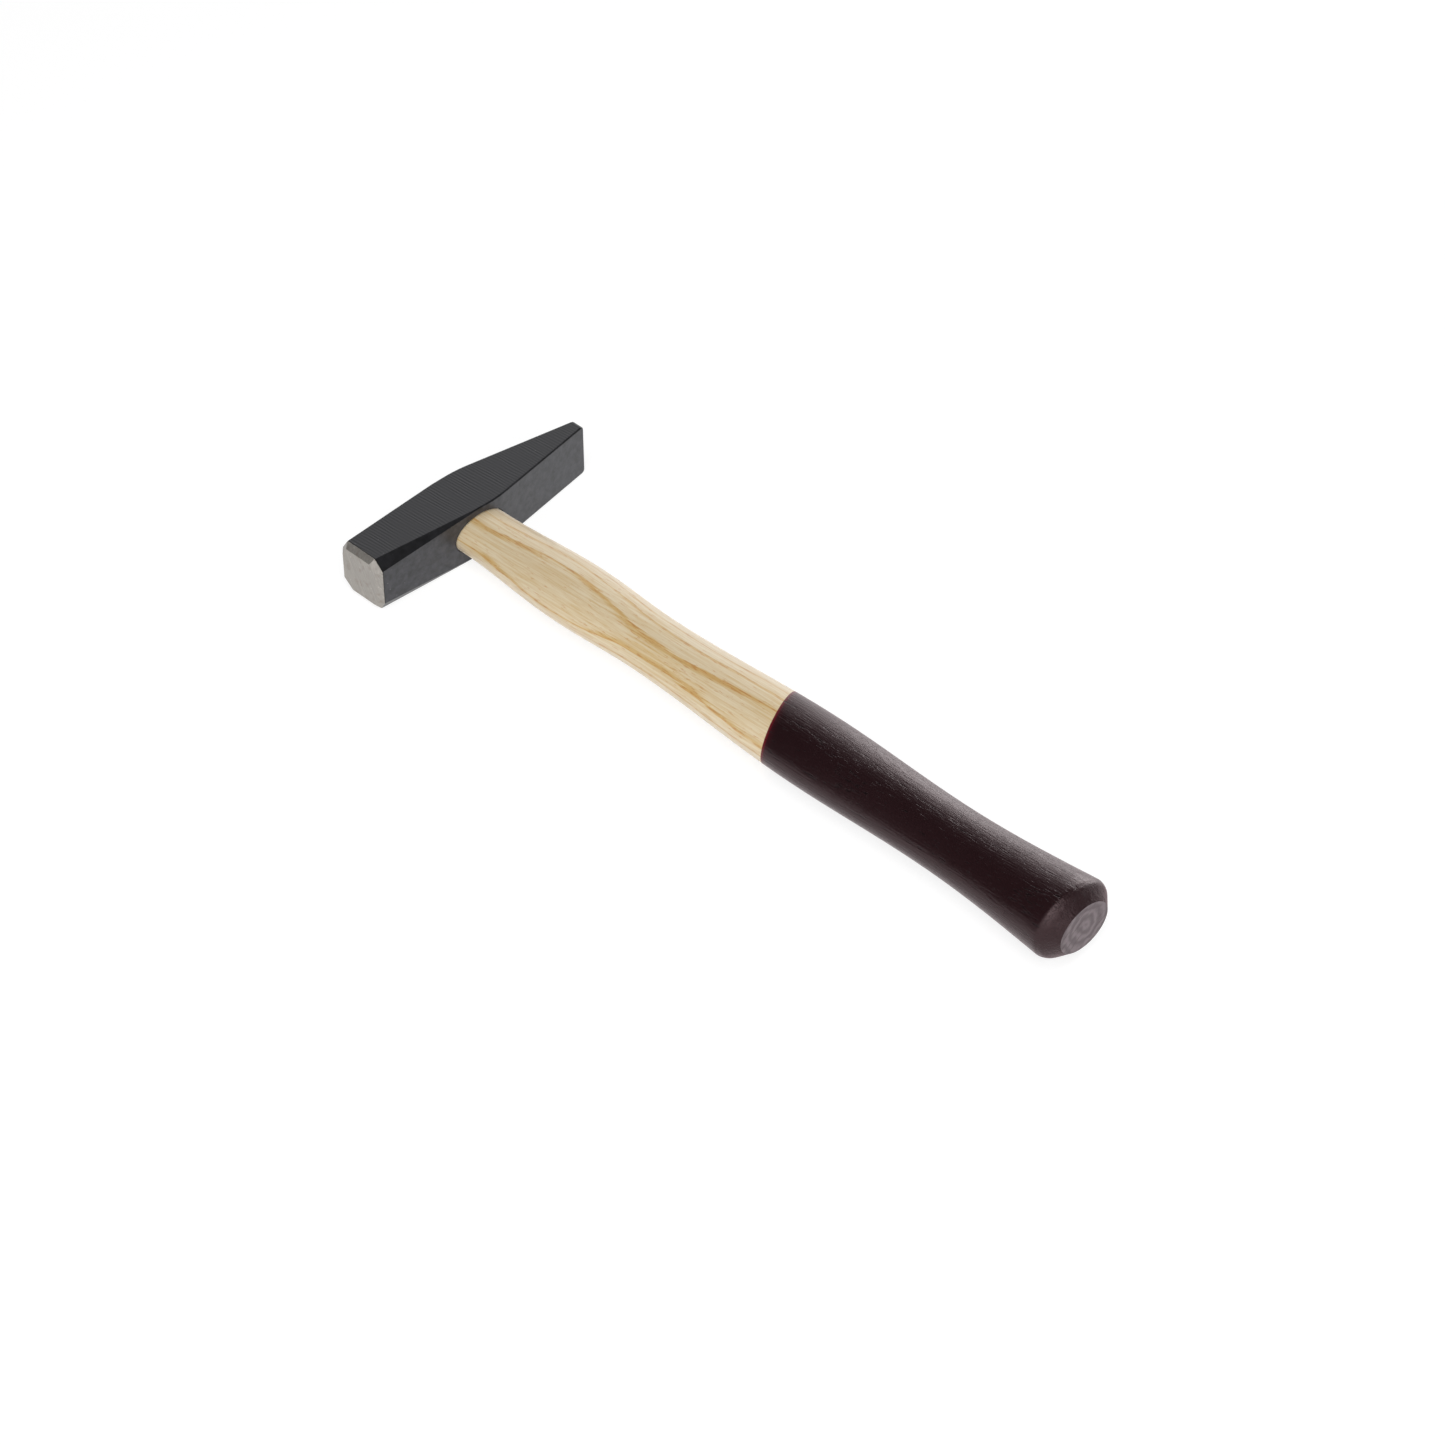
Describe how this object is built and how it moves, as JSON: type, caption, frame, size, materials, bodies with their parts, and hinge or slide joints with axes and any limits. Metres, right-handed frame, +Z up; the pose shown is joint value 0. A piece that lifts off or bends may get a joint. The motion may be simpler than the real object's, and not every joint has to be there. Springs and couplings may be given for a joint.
{
  "type": "cross peen hammer",
  "caption": "Small cross peen hammer: forged steel head with a square striking face and a wedge-shaped peen, on a shaped oval wooden handle held by wedges.",
  "frame": {"origin": "on the lower cheek of the head, straight below the centre of the eye", "axes": "+X from the striking face towards the peen, -Y along the handle towards its butt, +Z up from the lower cheek to the upper one"},
  "size_m": [0.0958, 0.28, 0.024],
  "materials": {
    "black_forged_steel": "satin black paint over forged and ground steel, with the striking face ground bare",
    "lacquered_ash": "ash under clear lacquer, its lower half dipped in dark brown lacquer",
    "beech": "dry end grain of a beech wedge, trimmed flush",
    "bare_steel": "plain bright steel with light hammer marks"
  },
  "bodies": {
    "root": {"hammer_head": "black_forged_steel", "handle": "lacquered_ash", "wooden_wedge": "beech", "ring_wedge": "bare_steel"}
  },
  "joints": []
}
